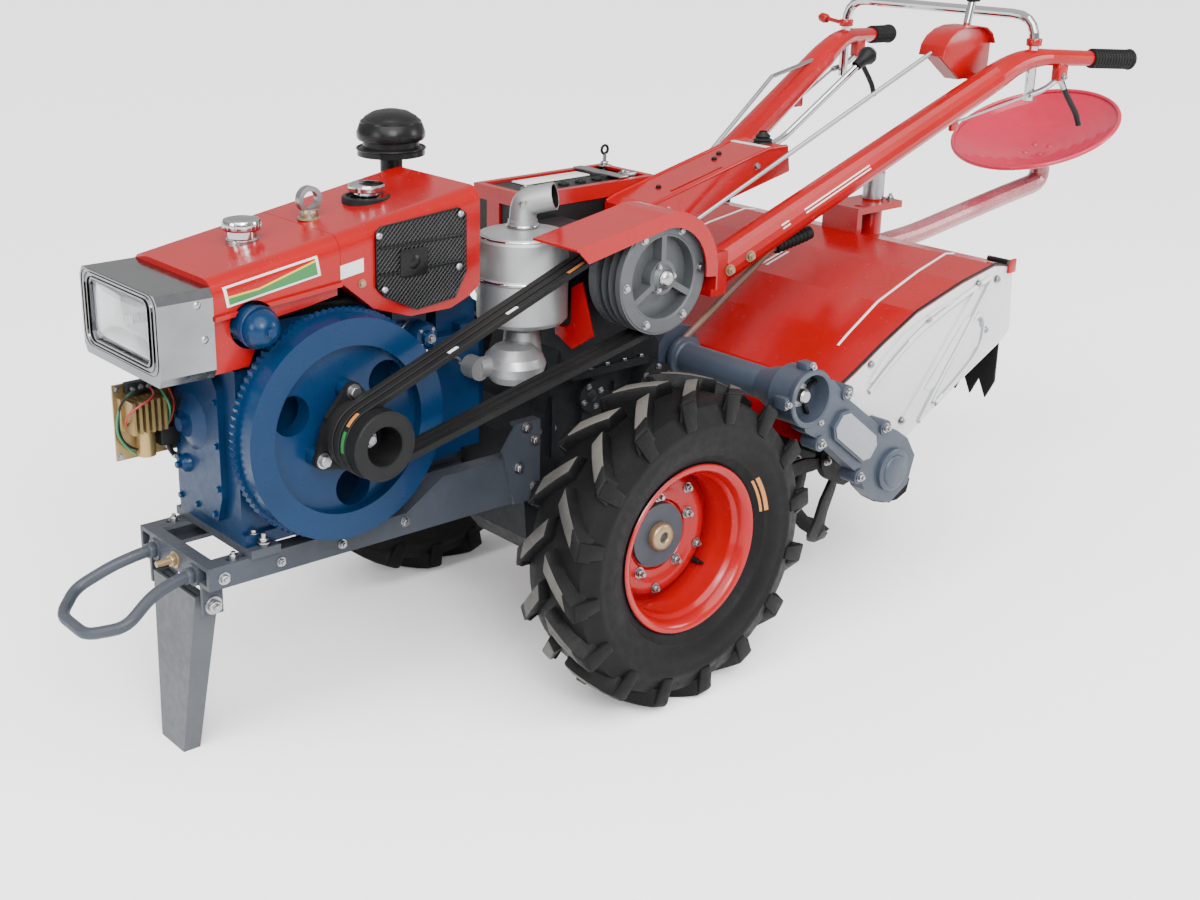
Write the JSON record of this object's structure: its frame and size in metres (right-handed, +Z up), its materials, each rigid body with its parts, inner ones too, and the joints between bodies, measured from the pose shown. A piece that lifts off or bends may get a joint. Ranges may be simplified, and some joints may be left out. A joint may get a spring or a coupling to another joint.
{
  "type": "walking tractor",
  "caption": "Two-wheel walking tractor with a diesel engine under a red hood, belt drive, long handlebars, a rotary tiller behind the wheels and a dished ride-on seat.",
  "frame": {"origin": "on the ground under the middle of the machine's length and width", "axes": "+X forward to the headlamp, +Y to the machine's left, +Z up; metres"},
  "size_m": [2.887, 0.9632, 1.2804],
  "materials": {
    "frame_paint": "semi-gloss",
    "engine_paint": "gloss",
    "leg_steel": "satin",
    "engine_cast": "painted gloss",
    "red_paint": "gloss",
    "black_paint": "satin",
    "bright": "polished",
    "plain_steel": "plain",
    "lens": "ribbed",
    "silver_paint": "silver heat paint",
    "yellow_zinc": "passivated",
    "black_cast": "painted",
    "grey_cast": "machined",
    "belt_rubber": "matte",
    "dark_cast": "painted",
    "black_plastic": "matte",
    "grip_rubber": "ribbed",
    "slate_cast": "painted",
    "white_paint": "gloss",
    "black_rubber": "matte",
    "brown_paint": "worn",
    "tine_steel": "blackened",
    "tyre_rubber": "matte"
  },
  "bodies": {
    "chassis": {"frame_rails": "frame_paint", "engine_bed": "engine_paint", "front_bumper": "frame_paint", "engine_block": "engine_cast", "cylinder_head": "engine_cast", "starter_motor": "engine_paint", "fuel_tank": "red_paint", "radiator_hood": "red_paint", "radiator_grille": "black_paint", "filler_caps": "bright", "lifting_eye": "plain_steel", "headlamp_shell": "bright", "headlamp_lens": "lens", "air_cleaner": "black_paint", "silencer": "silver_paint", "exhaust_pipes": "silver_paint", "electrical_panel": "yellow_zinc", "drive_belts": "belt_rubber", "belt_guard": "red_paint", "gearbox": "dark_cast", "axle_housings": "dark_cast", "battery": "black_plastic", "battery_tray": "red_paint", "handle_base": "red_paint", "left_handle": "red_paint", "right_handle": "red_paint", "grips": "grip_rubber", "hoop": "bright", "lever_quadrant": "red_paint", "gear_lever": "bright", "steering_levers": "plain_steel", "control_rods": "plain_steel", "tiller_drive": "slate_cast", "chain_case": "slate_cast", "tiller_hood": "red_paint", "left_side_plate": "white_paint", "right_side_plate": "white_paint", "rear_flap": "black_rubber", "tail_post": "red_paint", "tiller_lever": "brown_paint", "seat_tube": "red_paint", "seat": "red_paint"},
    "left_wheel": {"left_tyre": "tyre_rubber", "left_rim": "red_paint", "left_hub": "grey_cast"},
    "right_wheel": {"right_tyre": "tyre_rubber", "right_rim": "red_paint", "right_hub": "grey_cast"},
    "crank": {"flywheel": "engine_cast", "engine_pulley": "black_cast"},
    "clutch": {"clutch_pulley": "grey_cast"},
    "tine_rotor": {"rotor": "tine_steel"},
    "front_stand": {"stand_leg": "leg_steel"}
  },
  "joints": [
    {"name": "left_wheel_spin", "type": "hinge", "parent": "chassis", "child": "left_wheel", "pos_m": [0.3975, 0, 0.318], "axis": [0, 1, 0], "continuous": true},
    {"name": "right_wheel_spin", "type": "hinge", "parent": "chassis", "child": "right_wheel", "pos_m": [0.3975, 0, 0.318], "axis": [0, 1, 0], "continuous": true},
    {"name": "flywheel_spin", "type": "hinge", "parent": "chassis", "child": "crank", "pos_m": [0.9825, 0, 0.61], "axis": [0, 1, 0], "continuous": true},
    {"name": "clutch_spin", "type": "hinge", "parent": "chassis", "child": "clutch", "pos_m": [0.3335, 0, 0.8], "axis": [0, 1, 0], "continuous": true},
    {"name": "rotor_spin", "type": "hinge", "parent": "chassis", "child": "tine_rotor", "pos_m": [-0.1745, 0, 0.348], "axis": [0, 1, 0], "continuous": true},
    {"name": "stand_fold", "type": "hinge", "parent": "chassis", "child": "front_stand", "pos_m": [1.2125, 0, 0.305], "axis": [0, 1, 0], "range_deg": [0, 80]}
  ],
  "couplings": [
    {"joint": "clutch_spin", "follows": "flywheel_spin", "ratio": 0.5493}
  ]
}
